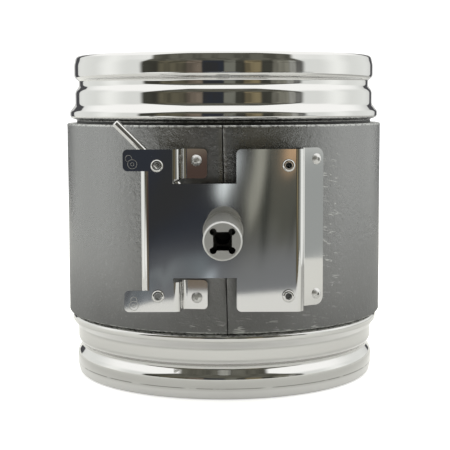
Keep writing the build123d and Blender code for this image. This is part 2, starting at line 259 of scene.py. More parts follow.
@dataclass(frozen=True)
class Finish:
    """A surface with the record's slot that it stands for."""

    slot: str = "polished_steel"
    colour: Colour = (0.62, 0.616, 0.605)
    metallic: float = 1.0
    roughness: float = 0.035

    def surface(self, graph: Graph) -> dict[str, object]:
        """Values for the shader's sockets."""
        return {"Base Color": (*self.colour, 1.0), "Metallic": self.metallic, "Roughness": self.roughness}

    def material(self) -> bpy.types.Material:
        """Builds the material.

        Returns:
            A material named for the slot and the finish.
        """
        made = bpy.data.materials.new(f"{self.slot}_{type(self).__name__}")
        made.use_nodes = True
        graph = Graph(made.node_tree)
        shader = graph.node("ShaderNodeBsdfPrincipled", None, self.surface(graph))
        graph.node("ShaderNodeOutputMaterial", None, {"Surface": shader.outputs[0]})
        return made


@dataclass(frozen=True)
class RolledSteel(Finish):
    """Mirror-polished rolled sheet with faint lines round it, and a fine crease low on the duct with painted
    shade along it.
    """

    line_scale: float = 1400.0
    line_stretch: float = 0.02
    line_rough: float = 0.02
    cloud: Spots = Spots(45.0, 0.5, 0.8, 0.03, 3.0)
    crease_height: float = 0.00555
    crease_half: float = 0.00022
    crease_soft: float = 0.0001
    crease_breaks: Spots = Spots(120.0, 0.34, 0.50, 0.75)
    # Colour of the painted shade along the crease
    crease_shade_colour: Colour = (0.20, 0.195, 0.18)
    lead_slope: float = 0.11
    wave_scale: float = 70.0
    waviness: float = 0.00006

    def surface(self, graph: Graph) -> dict[str, object]:
        """Adds the lines, dull clouds, slight waves and the crease, with painted shade along it, to the plain
        metal.

        Args:
            graph: The material's tree.

        Returns:
            Values by socket name.
        """
        values = super().surface(graph)
        place = graph.place()
        x, y, z = graph.axes(place)
        lines = graph.noise(graph.vector(x * self.line_stretch, y * self.line_stretch, z), self.line_scale)
        low, high = self.crease_height - self.crease_half, self.crease_height + self.crease_half
        # Painted shade: a broken dark line along the crease
        crease = z.within(low, high, self.crease_soft) * self.crease_breaks.mask(graph, place)
        values["Base Color"] = graph.mix(crease, self.colour, self.crease_shade_colour)
        values["Roughness"] = self.roughness + self.cloud.mask(graph, place) + lines * self.line_rough
        lead = (self.crease_height - z).most(0.0) * self.lead_slope
        waves = graph.noise(place, self.wave_scale, detail=1.0) * self.waviness
        values["Normal"] = graph.bump(waves + lead, 1.0)
        return values


@dataclass(frozen=True)
class SheetSteel(Finish):
    """Mirror-polished folded sheet with a lock sign etched on each ear."""

    sign_x: float = -0.0412
    sign_upper: float = SHAFT_HEIGHT + 0.0307
    sign_lower: float = SHAFT_HEIGHT - 0.0345
    sign_radius: float = 0.0021
    sign_line: float = 0.00017
    hole_share: float = 0.35
    shackle_rise: float = 1.25
    shackle_share: float = 0.7
    shackle_clear: float = 1.1
    shackle_foot: Span = (0.4, 0.8)
    open_tilt: float = 0.0017
    etched_colour: Colour = (0.50, 0.49, 0.47)
    etched_rough: float = 0.6
    front: float = -0.0904
    front_soft: float = 0.0002
    grain_scale: float = 1500.0
    grain_stretch: float = 0.03
    grain_rough: float = 0.02
    wave_scale: float = 38.0
    waviness: float = 0.00010
    lean: float = 0.0040
    twist: float = 0.167
    ear_from: float = -0.049
    ear_to: float = -0.027
    ear_lean: float = 0.009

    def circle(self, away: Value, radius: float) -> Value:
        """1 on the line of a circle and 0 elsewhere."""
        return 1.0 - abs(away - radius).rise(0.0, self.sign_line)

    def sign(self, x: Value, z: Value, height: float, tilt: float) -> Value:
        """Outline of a small padlock.

        Args:
            x: Place across.
            z: Place up.
            height: Height of its middle.
            tilt: How far the shackle stands to the left, in metres.

        Returns:
            1 on its lines and 0 elsewhere.
        """
        radius = self.sign_radius
        across, up = x - self.sign_x, z - height
        body = across.length(up)
        loop = (across + tilt).length(up - radius * self.shackle_rise)
        shackle = self.circle(loop, radius * self.shackle_share)
        shackle = shackle * body.rise(radius, radius * self.shackle_clear)
        shackle = shackle * up.rise(radius * self.shackle_foot[0], radius * self.shackle_foot[1])
        return self.circle(body, radius).most(self.circle(body, radius * self.hole_share)).most(shackle)

    def surface(self, graph: Graph) -> dict[str, object]:
        """Adds the signs, an upright grain and the warp of the sheet to the plain metal.

        Args:
            graph: The material's tree.

        Returns:
            Values by socket name.
        """
        values = super().surface(graph)
        place = graph.place()
        x, y, z = graph.axes(place)
        signs = self.sign(x, z, self.sign_upper, self.open_tilt).most(self.sign(x, z, self.sign_lower, 0.0))
        etched = signs * (1.0 - y.rise(self.front, self.front + self.front_soft))
        grain = graph.noise(graph.vector(x, y, z * self.grain_stretch), self.grain_scale)
        values["Base Color"] = graph.mix(etched, self.colour, self.etched_colour)
        values["Roughness"] = self.roughness + grain * self.grain_rough + etched * self.etched_rough
        ear = (1.0 - x.rise(self.ear_from, self.ear_to)) * self.ear_lean
        warp = (z - SHAFT_HEIGHT) * (x * self.twist - self.lean - ear)
        waves = graph.noise(place, self.wave_scale, detail=0.0) * self.waviness
        values["Normal"] = graph.bump(warp + waves, 1.0)
        return values


@dataclass(frozen=True)
class TurnedSteel(Finish):
    """Satin turned steel with fine tool lines round the shaft and painted shade in its socket."""

    slot: str = "turned_steel"
    colour: Colour = (0.53, 0.53, 0.515)
    roughness: float = 0.36
    # Where the socket's painted shade lies, and its colour
    socket_front: float = -0.1299
    socket_depth: float = 0.05
    socket_end_soft: float = 0.0004
    socket_radius: float = 0.0076
    socket_soft: float = 0.0002
    socket_shade_colour: Colour = (0.08, 0.08, 0.075)
    ring_scale: float = 2600.0
    ring_stretch: float = 0.03
    ring_rough: float = 0.14
    ring_depth: float = 0.00001

    def surface(self, graph: Graph) -> dict[str, object]:
        """Adds the tool lines and paints shade into the socket's bore.

        Args:
            graph: The material's tree.

        Returns:
            Values by socket name.
        """
        values = super().surface(graph)
        x, y, z = graph.axes(graph.place())
        away = x.length(z - SHAFT_HEIGHT)
        # Painted shade: the bore of the socket is darkened
        socket_shade = 1.0 - away.rise(self.socket_radius, self.socket_radius + self.socket_soft)
        end = self.socket_front + self.socket_depth
        socket_shade = socket_shade * y.within(self.socket_front, end, self.socket_end_soft)
        rings = graph.noise(graph.vector(x * self.ring_stretch, y, z * self.ring_stretch), self.ring_scale)
        values["Base Color"] = graph.mix(socket_shade, self.colour, self.socket_shade_colour)
        values["Roughness"] = self.roughness + rings * self.ring_rough
        values["Normal"] = graph.bump(rings, self.ring_depth)
        return values


@dataclass(frozen=True)
class FoamRubber(Finish):
    """Dark closed-cell foam with a slightly glossy, leathery skin, scuffs and short creases, a painted
    highlight along its cut edges and painted shade towards its bottom.
    """

    slot: str = "foam"
    colour: Colour = (0.015, 0.016, 0.014)
    metallic: float = 0.0
    roughness: float = 0.15
    index: float = 2.80
    cell_scale: float = 1500.0
    cell_rough: float = 0.10
    cell_depth: float = 0.00018
    cell_strength: float = 0.7
    pore_scale: float = 420.0
    pore_share: float = 1.5
    cloud_scale: float = 38.0
    cloud_span: Span = (0.32, 0.68)
    cloud_dark: float = 0.93
    cloud_light: float = 1.07
    cloud_rough: float = 0.16
    # Painted shade towards the sleeve's bottom, which is also rougher there
    low_span: Span = (-0.01, 0.045)
    low_shade_tone: float = 0.15
    low_shade: float = 0.30
    low_dull: float = 0.50
    front_span: Span = (-0.05, -0.04)
    # Colour of the scuffs and rubbing, and of the painted highlight on the cut edges
    wear_and_highlight_colour: Colour = (0.40, 0.41, 0.39)
    scuffs: Spots = Spots(330.0, 0.70, 0.76, 0.3)
    scuff_areas: Spots = Spots(24.0, 0.55, 0.70, detail=1.0)
    scuff_across: float = 2.2
    scuff_up: float = 0.55
    scuff_lean: float = 0.6
    # Where the cut edges get their painted highlight
    upper_edge: Span = (-0.0012, -0.0007)
    lower_edge: Span = (0.0003, 0.0006)
    edge_wear: Spots = Spots(500.0, 0.38, 0.55)
    flecks: Spots = Spots(1100.0, 0.58, 0.74, 0.14)
    seam_half: float = 0.00022
    seam_fade: float = 1.6
    seam_colour: Colour = (0.006, 0.006, 0.006)
    seam_lip: Span = (2.0, 3.2)
    lip_soft: float = 0.0001
    lip_wear: Spots = Spots(420.0, 0.48, 0.62, 0.6)
    wrinkle_scale: float = 520.0
    wrinkle_stretch: float = 0.12
    wrinkle_level: float = 0.5
    wrinkle_line: Span = (0.010, 0.045)
    wrinkle_wear: float = 0.8
    wrinkle_breaks: Spots = Spots(360.0, 0.52, 0.62)
    break_stretch: float = 0.5
    beside_around: Span = (0.0485, 0.0610)
    beside_around_soft: float = 0.0045
    beside_up: Span = (0.044, 0.116)
    beside_up_soft: float = 0.012
    below_around: Span = (-0.018, 0.048)
    below_around_soft: float = 0.008
    below_up: Span = (0.036, 0.043)

    def tone(self, share: float) -> Colour:
        """The foam's colour made darker or lighter."""
        return tuple(share * part for part in self.colour)

    def wrinkles(self, graph: Graph, around: Value, z: Value) -> Value:
        """Short level creases beside the bracket's foot and below it.

        Args:
            graph: The tree to add to.
            around: Distance round the sleeve from its front.
            z: Place up.

        Returns:
            1 on the creases and 0 elsewhere.
        """
        slanted = z + around * self.wrinkle_stretch
        wave = graph.noise(graph.vector(around * self.wrinkle_stretch, 0.0, slanted), self.wrinkle_scale)
        lines = 1.0 - abs(wave - self.wrinkle_level).rise(*self.wrinkle_line)
        beside = around.within(*self.beside_around, self.beside_around_soft)
        beside = beside * z.within(*self.beside_up, self.beside_up_soft)
        below = (1.0 - z.rise(*self.below_up)) * around.within(*self.below_around, self.below_around_soft)
        breaks = self.wrinkle_breaks.mask(graph, graph.vector(around * self.break_stretch, 0.0, z))
        return lines * beside.most(below) * breaks

    def wear(self, graph: Graph, place: bpy.types.NodeSocket, seam_lip: Value) -> Value:
        """Light scuffs, flecks and rubbing beside the seam, and a painted highlight along the sleeve's cut
        edges.

        Args:
            graph: The tree to add to.
            place: Object coordinates.
            seam_lip: 1 on the strip beside the seam.

        Returns:
            How much lighter the skin is there, from scuffs, rubbing, flecks and the painted edge highlight.
        """
        x, y, z = graph.axes(place)
        slanted = z * self.scuff_up + x * self.scuff_lean
        scuffs = self.scuffs.mask(graph, graph.vector(x * self.scuff_across, y * self.scuff_across, slanted))
        scuffs = scuffs * self.scuff_areas.mask(graph, place)
        # Painted highlight along the cut edges at the top and the bottom
        upper = z.rise(SLEEVE_HIGH + self.upper_edge[0], SLEEVE_HIGH + self.upper_edge[1])
        lower = 1.0 - z.rise(SLEEVE_LOW + self.lower_edge[0], SLEEVE_LOW + self.lower_edge[1])
        edges = upper.most(lower) * self.edge_wear.mask(graph, place)
        lip = seam_lip * self.lip_wear.mask(graph, place)
        return scuffs.most(edges).most(lip).most(self.flecks.mask(graph, place))

    def surface(self, graph: Graph) -> dict[str, object]:
        """Lays the cells, clouds, scuffs, creases, painted edge highlight, painted shade low down and the
        dark seam over the plain foam.

        Args:
            graph: The material's tree.

        Returns:
            Values by socket name.
        """
        values = super().surface(graph)
        place = graph.place()
        x, y, z = graph.axes(place)
        front = 1.0 - y.rise(*self.front_span)
        wrinkles = self.wrinkles(graph, x.maths("ARCTAN2", -y) * SLEEVE_RADIUS, z) * front
        seam_lean = (SEAM_HIGH - SEAM_LOW) / (SLEEVE_HIGH - SLEEVE_LOW)
        beside = x - SEAM_LOW - (z - SLEEVE_LOW) * seam_lean
        seam = (1.0 - abs(beside).rise(self.seam_half, self.seam_half * self.seam_fade)) * front
        lip_from, lip_to = (self.seam_half * share for share in self.seam_lip)
        lip = beside.within(lip_from, lip_to, self.lip_soft) * front
        wear_and_highlights = self.wear(graph, place, lip).most(wrinkles * self.wrinkle_wear)
        cells = graph.noise(place, self.cell_scale, detail=4.0)
        cloud = graph.noise(place, self.cloud_scale, detail=4.0)
        low = 1.0 - z.rise(SLEEVE_LOW + self.low_span[0], SLEEVE_LOW + self.low_span[1])
        dark, light = self.tone(self.cloud_dark), self.tone(self.cloud_light)
        skin = graph.mix(cloud.rise(*self.cloud_span), dark, light)
        # Painted shade: the skin darkens towards the bottom
        skin = graph.mix(low * self.low_shade, skin, self.tone(self.low_shade_tone))
        # Scuffs, rubbing and the painted edge highlight lighten the skin
        skin = graph.mix(wear_and_highlights, skin, self.wear_and_highlight_colour)
        values["Base Color"] = graph.mix(seam, skin, self.seam_colour)
        values["IOR"] = self.index
        dull = cloud * self.cloud_rough + cells * self.cell_rough + low * self.low_dull
        values["Roughness"] = self.roughness + dull
        relief = cells + graph.noise(place, self.pore_scale) * self.pore_share + wrinkles
        values["Normal"] = graph.bump(relief, self.cell_depth, self.cell_strength)
        return values


@dataclass(frozen=True)
class Moulding(Finish):
    """Plain moulded plastic or rubber with a fine grain."""

    metallic: float = 0.0
    grain_scale: float = 900.0
    grain_rough: float = 0.1

    def surface(self, graph: Graph) -> dict[str, object]:
        """Adds the grain to the plain colour.

        Args:
            graph: The material's tree.

        Returns:
            Values by socket name.
        """
        values = super().surface(graph)
        grain = graph.noise(graph.place(), self.grain_scale, detail=3.0)
        values["Roughness"] = self.roughness + grain * self.grain_rough
        return values


@dataclass
class Group:
    """Pieces of the object with a finish each."""

    finishes: dict[Look, bpy.types.Material]
    dress_code: dict[str, Look] = field(default_factory=dict)

    def dress(self) -> list[bpy.types.Object]:
        """Gives each CAD node of the group its finish.

        Returns:
            The nodes.
        """
        nodes = []
        for name, look in self.dress_code.items():
            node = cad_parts[name]
            node.data.materials.clear()
            node.data.materials.append(self.finishes[look])
            nodes.append(node)
        return nodes

    def build(self) -> list[bpy.types.Object]:
        """Makes the pieces that the CAD part leaves to the looks, of which a plain group has none."""
        return []

    def piece(self, name: str, mesh: bpy.types.Mesh, look: Look, slot: str, body: Body) -> bpy.types.Object:
        """Adds a finished mesh that rides on a body.

        Args:
            name: The piece's name.
            mesh: Its mesh, in the row frame.
            look: Its finish.
            slot: The record's slot; not used.
            body: The body it rides on.

        Returns:
            The new object.
        """
        mesh.materials.clear()
        mesh.materials.append(self.finishes[look])
        made = bpy.data.objects.new(name, mesh)
        bpy.context.scene.collection.objects.link(made)
        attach(made, body.value)
        return made


def sweep(name: str, rows: list[list[Vector]], closed: bool) -> bpy.types.Mesh:
    """Joins closed outlines that follow each other round the duct.

    Args:
        name: The mesh's name.
        rows: The outlines, with as many points each.
        closed: Whether the last outline meets the first; the ends are capped if not.

    Returns:
        The new mesh.
    """
    count = len(rows[0])
    points = [point for row in rows for point in row]
    faces = []
    for column in range(len(rows) if closed else len(rows) - 1):
        start, end = column * count, (column + 1) % len(rows) * count
        for row in range(count):
            after = (row + 1) % count
            faces.append((start + row, end + row, end + after, start + after))
    if not closed:
        faces.append(tuple(range(count)))
        faces.append(tuple(len(points) - count + row for row in reversed(range(count))))
    mesh = bpy.data.meshes.new(name)
    mesh.from_pydata(points, [], faces)
    mesh.validate()
    return mesh


def bore(mesh: bpy.types.Mesh, radius: float) -> bpy.types.Mesh:
    """Cuts a round hole along the shaft through a mesh.

    Args:
        mesh: The mesh to cut.
        radius: The hole's radius.

    Returns:
        The cut mesh, with smooth faces and sharp edges.
    """
    blank = bpy.data.objects.new("blank", mesh)
    bpy.context.scene.collection.objects.link(blank)
    bpy.ops.mesh.primitive_cylinder_add(
        vertices=BORE_SIDES,
        radius=radius,
        depth=BORE_LENGTH,
        location=(0, 0, SHAFT_HEIGHT),
        rotation=ALONG_SHAFT,
    )
    cutter = bpy.context.object
    cut = blank.modifiers.new("bore", "BOOLEAN")
    cut.operation, cut.object, cut.solver = "DIFFERENCE", cutter, "EXACT"
    done = bpy.data.meshes.new_from_object(blank.evaluated_get(bpy.context.evaluated_depsgraph_get()))
    for helper in (blank, cutter):
        bpy.data.objects.remove(helper)
    done.name = mesh.name
    done.shade_smooth()
    done.set_sharp_from_angle(angle=SHARP_ANGLE)
    return done


@dataclass
class DuctShell(Group):
    """The rolled tube, with finer bends than the solid, and its two bearings.

    Each bend is its reach beyond the tube's radius, its height from the nearer end and its inner radius.
    """

    height: float = field(default_factory=lambda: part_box("duct_body")[1].z)
    wall: float = 0.0008
    radius: float = 0.0768
    lip_reach: float = 0.0040
    hole: float = 0.00803
    bend_share: float = 0.96
    bend_step: float = math.radians(6)
    support: float = 0.00012
    support_from: float = 0.00072
    columns: int = 192
    lip: Bends = ((0.0001, 0.0, 0.0012), (0.0012, 0.0045, 0.0080))
    upper_groove: Bends = ((0.0012, 0.0110, 0.0020), (-0.0012, 0.0128, 0.0020), (-0.0012, 0.0154, 0.0020))
    lower_groove: Bends = ((0.0012, 0.0110, 0.0040), (-0.0012, 0.0145, 0.0030), (-0.0012, 0.0158, 0.0020))
    band: Bends = (
        (0.0008, 0.0182, 0.0030),
        (0.0008, 0.0248, 0.0030),
        (0.0036, 0.0284, 0.0013),
        (0.0036, 0.0316, 0.0013),
        (0.0, 0.0325, 0.0013),
    )
    dress_code: dict[str, Look] = field(default_factory=lambda: {
        "front_bearing": Look.PLASTIC,
        "rear_bearing": Look.PLASTIC,
        "front_shaft_seal": Look.RUBBER,
        "rear_shaft_seal": Look.RUBBER,
    })

    def path(self) -> list[tuple[Vector, Vector]]:
        """Line of the sheet's outer face, with its corners rounded.

        Returns:
            Each point, as radius and height, with the way the line runs there.
        """
        lower = (*self.lip, *self.lower_groove, *self.band)
        upper = (*self.lip, *self.upper_groove, *self.band)
        corners = [(self.radius + reach, up, bend) for reach, up, bend in lower]
        corners += [(self.radius + reach, self.height - up, bend) for reach, up, bend in reversed(upper)]
        rim = self.radius - self.lip_reach
        places = [(rim, 0.0), *[corner[:2] for corner in corners], (rim, self.height)]
        points = [Vector(place) for place in places]
        steps = [end - start for start, end in zip(points, points[1:])]
        # A bend takes almost half of each straight beside it at most, or of the two end ones almost all
        room = [step.length * self.bend_share / 2 for step in steps]
        room[0], room[-1] = 2 * room[0], 2 * room[-1]
        path = [(points[0], steps[0].normalized())]
        for number, (_, _, bend) in enumerate(corners, start=1):
            before, after = steps[number - 1].normalized(), steps[number].normalized()
            turn = math.atan2(before.x * after.y - before.y * after.x, before.dot(after))
            half = math.tan(abs(turn) / 2)
            bend = min(bend, min(room[number - 1], room[number]) / half - self.wall)
            bend += self.wall if turn > 0 else 0.0
            side = math.copysign(bend, turn)
            start = points[number] - before * bend * half
            middle = start + Vector((-before.y, before.x)) * side
            parts = max(2, math.ceil(abs(turn) / self.bend_step))
            for part in range(parts + 1):
                along = Matrix.Rotation(turn * part / parts, 2) @ before
                path.append((middle - Vector((-along.y, along.x)) * side, along))
        path.append((points[-1], steps[-1].normalized()))
        return path

    def section(self) -> list[Vector]:
        """Closed section of the bent sheet as radius and height, with support points beside its bends.

        Returns:
            The outer face from the lower lip to the upper one, and the inner face back.
        """
        path = self.path()
        outer, inner = [], []
        for (place, along), (after, onward) in zip(path, path[1:] + path[-1:]):
            places = [(place, along)]
            straight = after - place
            if straight.length > self.support_from:
                inset = straight.normalized() * self.support
                places += [(place + inset, along), (after - inset, onward)]
            for spot, way in places:
                outer.append(spot)
                inner.append(spot + Vector((-way.y, way.x)) * self.wall)
        return outer + inner[::-1]

    def build(self) -> list[bpy.types.Object]:
        """Turns the section round the axis and pierces it for the bearings.

        Returns:
            The shell.
        """
        section = self.section()
        rows = []
        for column in range(self.columns):
            turn = 2 * math.pi * column / self.columns
            rows.append([Vector((math.sin(turn) * r, -math.cos(turn) * r, height)) for r, height in section])
        mesh = bore(sweep("duct_shell", rows, True), self.hole)
        made = self.piece("duct_shell", mesh, Look.ROLLED, "polished_steel", Body.DUCT)
        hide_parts("duct_body")
        return [made]


@dataclass
class FoamSleeve(Group):
    """Insulation wrapped round the duct, with its butt seam at the front, and a black film under it that
    paints shade into the gaps above and below it.
    """

    radius: float = SLEEVE_RADIUS
    inner: float = 0.07695
    low: float = SLEEVE_LOW
    high: float = SLEEVE_HIGH
    edge: float = 0.0008
    edge_steps: int = 4
    edge_freedom: float = 0.4
    seam: float = 0.0005
    shut_seam: float = 1e-5
    lip_width: float = 0.0009
    lip_depth: float = 0.0005
    cutout: float = 0.0140
    columns: int = 720
    rows: int = 56
    swell: float = 0.00035
    broad_scale: float = 28.0
    broad_share: float = 0.7
    fine_scale: float = 150.0
    fine_share: float = 0.15
    fine_shift: Place = (3.0, 1.0, 7.0)
    film_columns: int = 360
    film_radius: float = 0.07688
    film_below: float = 0.0003
    film_above: float = 0.0017

    def outline(self) -> list[tuple[float, float, float]]:
        """Closed section of the sleeve, with its two outer edges rounded.

        Returns:
            Radius, height and how freely it swells, for each point.
        """
        lower, upper = [], []
        for step in range(self.edge_steps + 1):
            turn = math.radians(90 * step / self.edge_steps)
            inset, drop = self.edge * (1 - math.cos(turn)), self.edge * (1 - math.sin(turn))
            upper.append((self.radius - inset, self.high - drop, self.edge_freedom))
            lower.insert(0, (self.radius - inset, self.low + drop, self.edge_freedom))
        span = self.high - self.low - 2 * self.edge
        rises = [self.low + self.edge + span * row / self.rows for row in range(1, self.rows)]
        flank = [(self.radius, height, 1.0) for height in rises]
        back = [(self.inner, height, 0.0) for height in (self.high, SHAFT_HEIGHT, self.low)]
        return lower + flank + upper + back

    def dent(self, place: Vector, from_seam: float) -> float:
        """How far the skin lies below its full radius at a point.

        Args:
            place: The point on the full radius.
            from_seam: Distance round the sleeve from the seam.

        Returns:
            The depth in metres.
        """
        broad = 0.5 + 0.5 * noise.noise(place * self.broad_scale)
        fine = 0.5 + 0.5 * noise.noise(place * self.fine_scale + Vector(self.fine_shift))
        lip = math.exp(-from_seam / self.lip_width) * self.lip_depth
        return self.swell * (self.broad_share * broad + self.fine_share * fine) + lip

    def build(self) -> list[bpy.types.Object]:
        """Sweeps the section from one side of the seam round to the other and cuts the bearing holes.

        Returns:
            The sleeve and the film.
        """
        outline = self.outline()
        rows = []
        for column in range(self.columns + 1):
            share = column / self.columns
            away = min(share, 1 - share) * 2 * math.pi * self.radius
            row = []
            for radius, height, freedom in outline:
                rise = (height - self.low) / (self.high - self.low)
                centre = (SEAM_LOW + (SEAM_HIGH - SEAM_LOW) * rise) / self.radius
                gap = self.seam / self.radius if radius > self.inner else self.shut_seam
                turn = centre + gap / 2 + share * (2 * math.pi - gap)
                outward = Vector((math.sin(turn), -math.cos(turn), 0.0))
                place = outward * radius + Vector((0.0, 0.0, height))
                row.append(place - outward * self.dent(place, away) * freedom)
            rows.append(row)
        mesh = bore(sweep("foam_sleeve", rows, False), self.cutout)
        made = self.piece("foam_sleeve", mesh, Look.FOAM, "foam", Body.DUCT)
        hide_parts("insulation_sleeve")
        return [made, self.film()]

    def film(self) -> bpy.types.Object:
        """Adds the black film that shows above and below the foam, as painted shade in the gaps there.

        Returns:
            The film.
        """
        # Painted shade: a black band round the duct fills the gaps above and below the foam
        points, faces = [], []
        for column in range(self.film_columns):
            turn = 2 * math.pi * column / self.film_columns
            for height in (self.low - self.film_below, self.high + self.film_above):
                points.append((math.sin(turn) * self.film_radius, -math.cos(turn) * self.film_radius, height))
            first, second = 2 * column, 2 * ((column + 1) % self.film_columns)
            faces.append((first, second, second + 1, first + 1))
        mesh = bpy.data.meshes.new("gap_shade_film")
        mesh.from_pydata(points, [], faces)
        mesh.shade_smooth()
        return self.piece("gap_shade_film", mesh, Look.RUBBER, "seal_rubber", Body.DUCT)


@dataclass
class Bracket(Group):
    """The folded plate with its rivets, its bush and the threads in its holes."""

    hole_radius: float = 0.00163
    wire: float = 0.00016
    pitch: float = 0.0007
    turns: int = 5
    spacing: float = 0.060
    first_y: float = -0.0921
    ring_sides: int = 32
    wire_sides: int = 8
    dress_code: dict[str, Look] = field(default_factory=lambda: {
        "actuator_bracket": Look.SHEET,
        "bracket_rivets": Look.RIVET,
        "rivet_mandrels": Look.TURNED,
        "bracket_bush": Look.TURNED,
    })

    def sizes(self) -> dict[str, tuple[str, object]]:
        """The thread tree's inputs by name, each with its kind and its value."""
        return {
            "Radius": ("Float", self.hole_radius),
            "Wire": ("Float", self.wire),
            "Pitch": ("Float", self.pitch),
            "Spacing": ("Float", self.spacing),
            "Turns": ("Int", self.turns),
            "Ring Sides": ("Int", self.ring_sides),
            "Wire Sides": ("Int", self.wire_sides),
            "Material": ("Material", self.finishes[Look.TURNED]),
        }

    def thread_tree(self) -> bpy.types.NodeTree:
        """Geometry Nodes that stack rings down each hole of a square pattern.

        Returns:
            The tree, with an input for each of its sizes.
        """
        tree = bpy.data.node_groups.new("TappedHoles", "GeometryNodeTree")
        tree.interface.new_socket("Geometry", in_out="OUTPUT", socket_type="NodeSocketGeometry")
        for name, (kind, _) in self.sizes().items():
            tree.interface.new_socket(name, in_out="INPUT", socket_type=f"NodeSocket{kind}")
        graph = Graph(tree)
        given = graph.node("NodeGroupInput").outputs
        ring = graph.node("GeometryNodeCurvePrimitiveCircle", None, {
            "Resolution": given["Ring Sides"], "Radius": given["Radius"]})
        wire = graph.node("GeometryNodeCurvePrimitiveCircle", None, {
            "Resolution": given["Wire Sides"], "Radius": given["Wire"]})
        thread = graph.node("GeometryNodeCurveToMesh", None, {0: ring.outputs[0], 1: wire.outputs[0]})
        turned = graph.node("GeometryNodeTransform", None, {
            "Geometry": thread.outputs[0], "Rotation": ALONG_SHAFT})
        step = graph.vector(0.0, given["Pitch"], 0.0)
        line = graph.node("GeometryNodeMeshLine", None, {"Count": given["Turns"], "Offset": step})
        stack = graph.node("GeometryNodeInstanceOnPoints", None, {
            "Points": line.outputs[0], "Instance": turned.outputs[0]})
        grid = graph.node("GeometryNodeMeshGrid", None, {
            "Size X": given["Spacing"], "Size Y": given["Spacing"], "Vertices X": 2, "Vertices Y": 2})
        upright = graph.node("GeometryNodeTransform", None, {
            "Geometry": grid.outputs[0], "Rotation": ALONG_SHAFT})
        holes = graph.node("GeometryNodeInstanceOnPoints", None, {
            "Points": upright.outputs[0], "Instance": stack.outputs[0]})
        real = graph.node("GeometryNodeRealizeInstances", None, {0: holes.outputs[0]})
        painted = graph.node("GeometryNodeSetMaterial", None, {
            "Geometry": real.outputs[0], "Material": given["Material"]})
        graph.node("NodeGroupOutput", None, {0: painted.outputs[0]})
        return tree

    def build(self) -> list[bpy.types.Object]:
        """Makes the threads in the tapped holes.

        Returns:
            The threads, as one piece.
        """
        blank = bpy.data.objects.new("threads_blank", bpy.data.meshes.new("threads_blank"))
        bpy.context.scene.collection.objects.link(blank)
        modifier = blank.modifiers.new("threads", "NODES")
        modifier.node_group = self.thread_tree()
        sizes = self.sizes()
        for socket in modifier.node_group.interface.items_tree:
            if socket.in_out == "INPUT":
                modifier[socket.identifier] = sizes[socket.name][1]
        bpy.context.view_layer.update()
        mesh = bpy.data.meshes.new_from_object(blank.evaluated_get(bpy.context.evaluated_depsgraph_get()))
        bpy.data.objects.remove(blank)
        mesh.transform(Matrix.Translation((0.0, self.first_y, SHAFT_HEIGHT)))
        mesh.shade_smooth()
        return [self.piece("tapped_threads", mesh, Look.TURNED, "turned_steel", Body.DUCT)]


@dataclass
class ShaftGroup(Group):
    """Everything on the shaft outside the vane."""

    dress_code: dict[str, Look] = field(default_factory=lambda: {
        "drive_shaft": Look.TURNED,
        "coupling_head": Look.TURNED,
        "thrust_washer": Look.TURNED,
        "retaining_ring": Look.TURNED,
        "indicator_rod": Look.PLAIN,
    })


@dataclass
class VaneGroup(Group):
    """The riveted discs and their gasket."""

    dress_code: dict[str, Look] = field(default_factory=lambda: {
        "vane_disc_right": Look.ROLLED,
        "vane_disc_left": Look.ROLLED,
        "vane_gasket_upper": Look.RUBBER,
        "vane_gasket_lower": Look.RUBBER,
        "vane_rivets": Look.TURNED,
        "vane_cross_pins": Look.TURNED,
    })


@dataclass(frozen=True)
class Panel:
    """An upright stripe of the room or the tent, by its angles in degrees from the camera's side."""

    start: float
    end: float
    colour: Colour
    soft: float = 1.5

    def mask(self, turn: Value) -> Value:
        """1 on the stripe and 0 beside it."""
        return turn.within(self.start, self.end, self.soft)


@dataclass(frozen=True)
class Patch:
    """A soft light or dark spot, by its angles in degrees from the camera's side."""

    turn: float
    rise: float
    half_turn: float
    half_rise: float
    colour: Colour
    lean: float = 0.0
    core: float = 0.2

    def mask(self, turn: Value, rise: Value) -> Value:
        """1 in the core of the spot, falling to 0 at its edge.

        Args:
            turn: Angle round the upright axis.
            rise: Angle above the horizon.

        Returns:
            The share of the spot's colour.
        """
        up = rise - self.rise
        across = (turn - self.turn - up * self.lean) / self.half_turn
        return 1.0 - across.length(up / self.half_rise).rise(self.core, 1.0)


